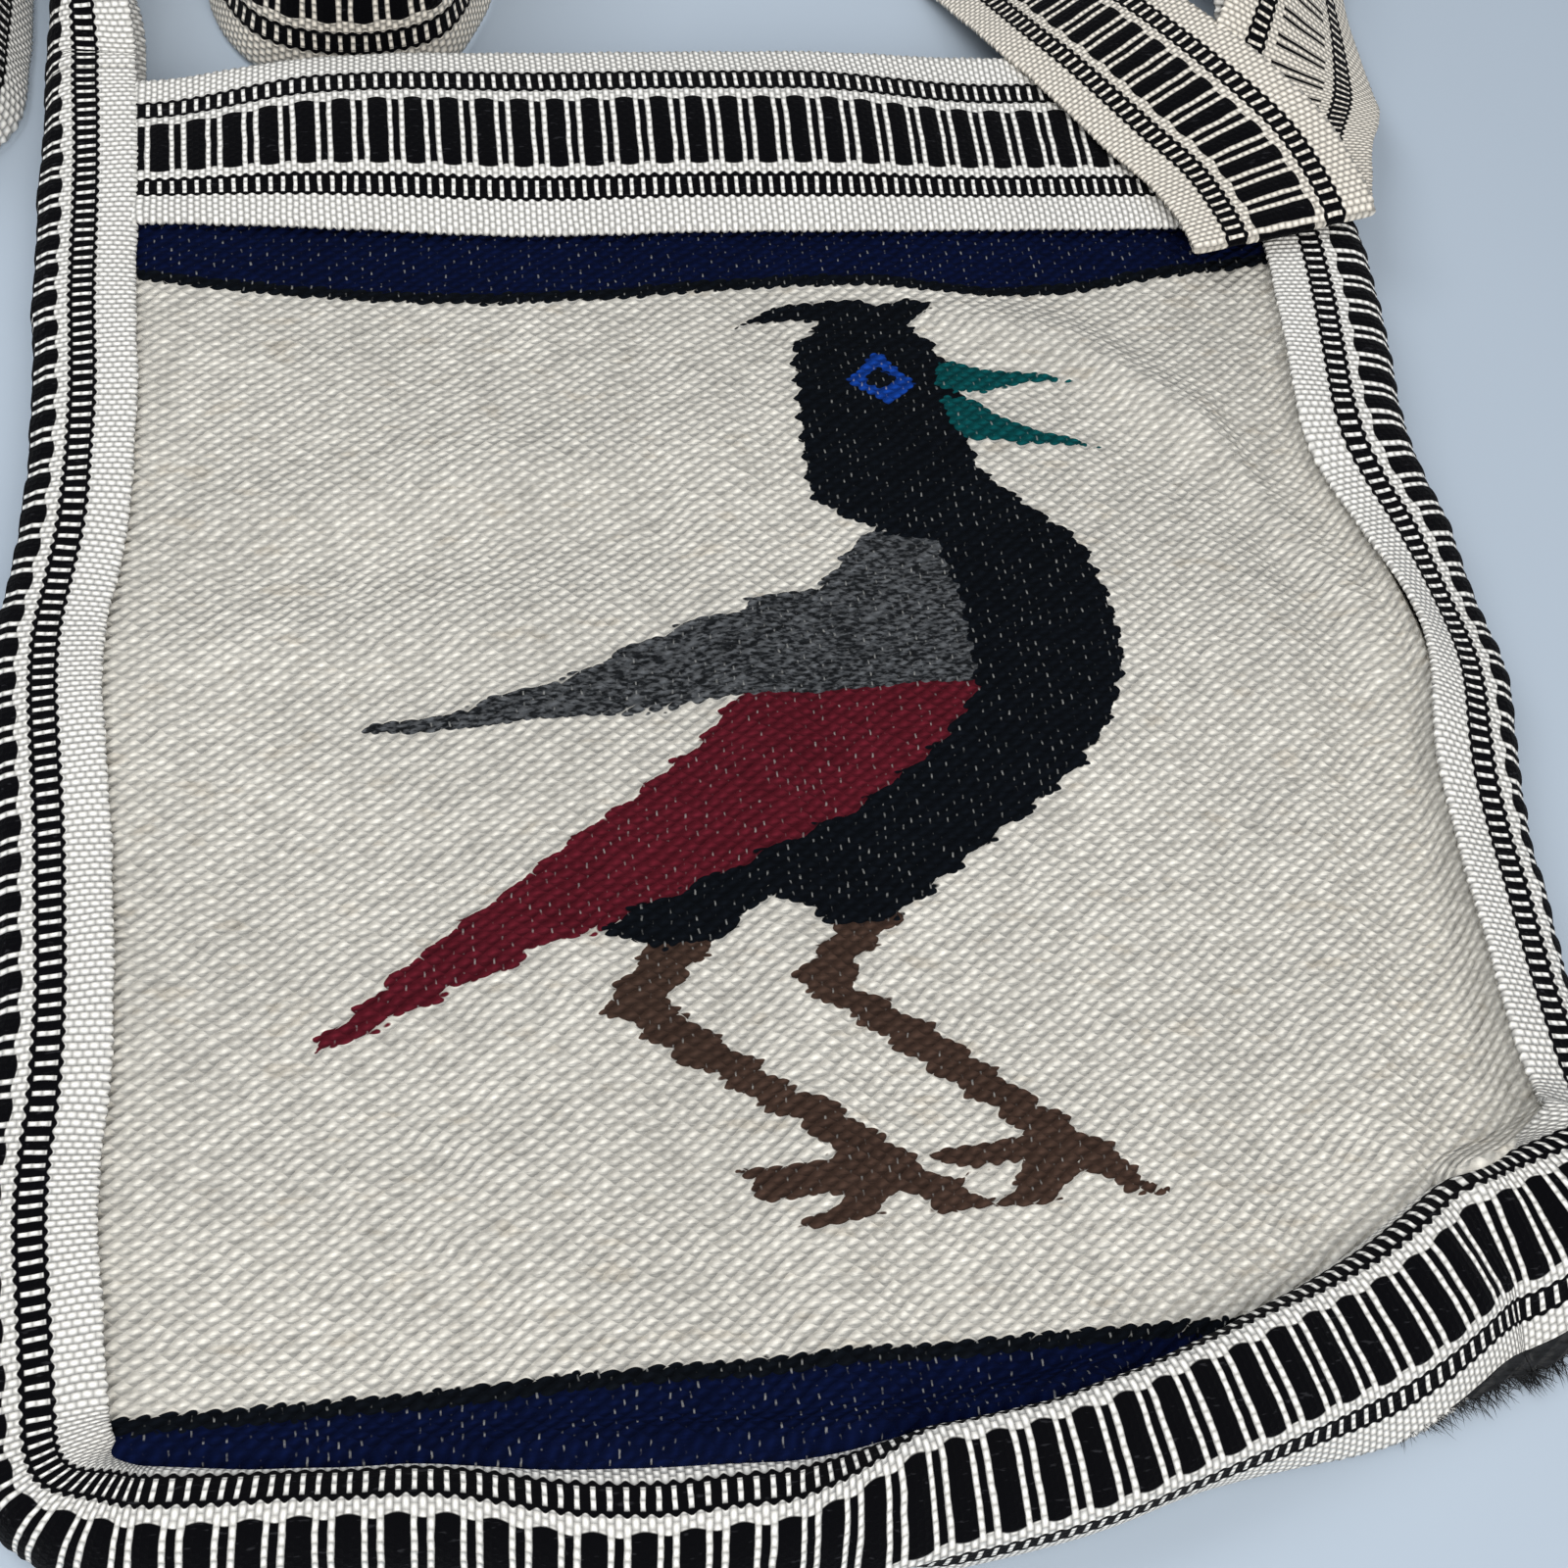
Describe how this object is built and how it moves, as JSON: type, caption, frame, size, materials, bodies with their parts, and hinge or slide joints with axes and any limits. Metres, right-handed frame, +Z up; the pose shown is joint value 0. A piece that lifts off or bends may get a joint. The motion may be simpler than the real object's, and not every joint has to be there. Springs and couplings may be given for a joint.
{
  "type": "woven wool crossbody purse",
  "caption": "Flat soft shoulder bag of woven wool with a patterned band as gusset, mouth trim and long carrying strap, lying on its back with the strap in loose bends.",
  "frame": {"origin": "on the table under the middle of the back panel's flat underside", "axes": "+X to the right of the front panel, +Y from the bag's bottom to its mouth, +Z up out of the front panel"},
  "size_m": [0.41, 0.4993, 0.0518],
  "materials": {
    "front_wool": "heavy twill wool, cream ground with a woven bird",
    "back_wool": "fuzzy charcoal wool",
    "band": "warp-faced woven band, cream with black blocks"
  },
  "bodies": {
    "root": {"front_panel": "front_wool", "back_panel": "back_wool", "gusset_band": "band", "front_mouth_trim": "band", "back_mouth_trim": "band", "shoulder_strap": "band"}
  },
  "joints": []
}
